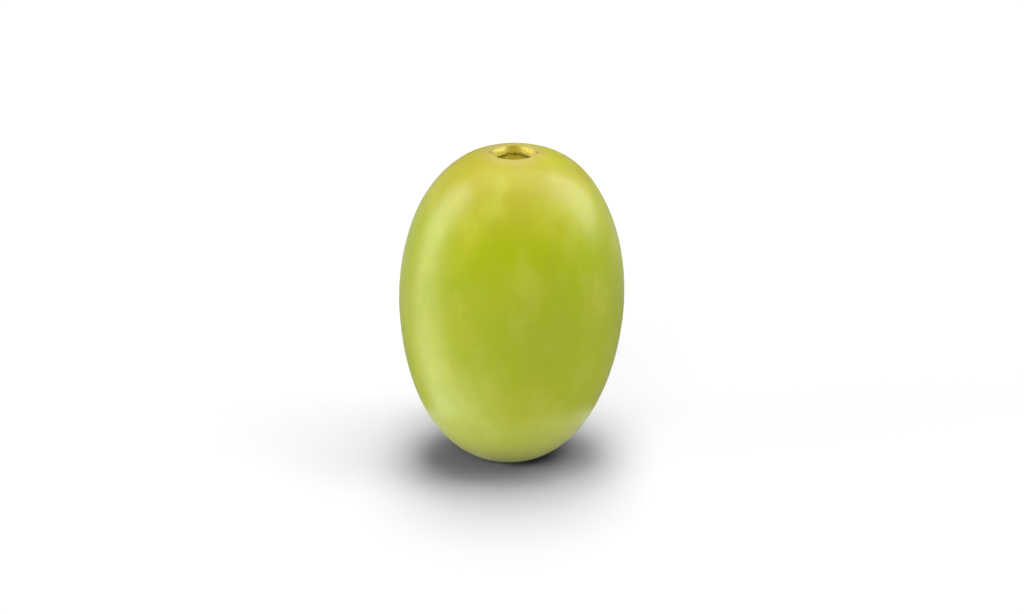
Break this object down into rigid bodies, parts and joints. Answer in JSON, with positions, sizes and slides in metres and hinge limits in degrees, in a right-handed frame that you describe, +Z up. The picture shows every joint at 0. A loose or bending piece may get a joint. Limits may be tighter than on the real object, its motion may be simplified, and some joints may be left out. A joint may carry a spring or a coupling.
{
  "type": "grape",
  "caption": "Oblong green table grape with a round stem pit on top, standing upright on a small flat spot at its blossom end.",
  "frame": {"origin": "middle of the small flat spot that the berry rests on, at its blossom end", "axes": "+Z up along the berry's length, from the blossom end to the stem pit; +X is the side that the stem end leans towards; -Y is the front"},
  "size_m": [0.019, 0.0188, 0.0272],
  "materials": {
    "grape_skin": "satin yellow-green skin with a thin waxy bloom and paler clouding, slightly translucent, with a dry tan ring and torn yellow core at the stem pit"
  },
  "bodies": {
    "root": {"berry": "grape_skin"}
  },
  "joints": []
}
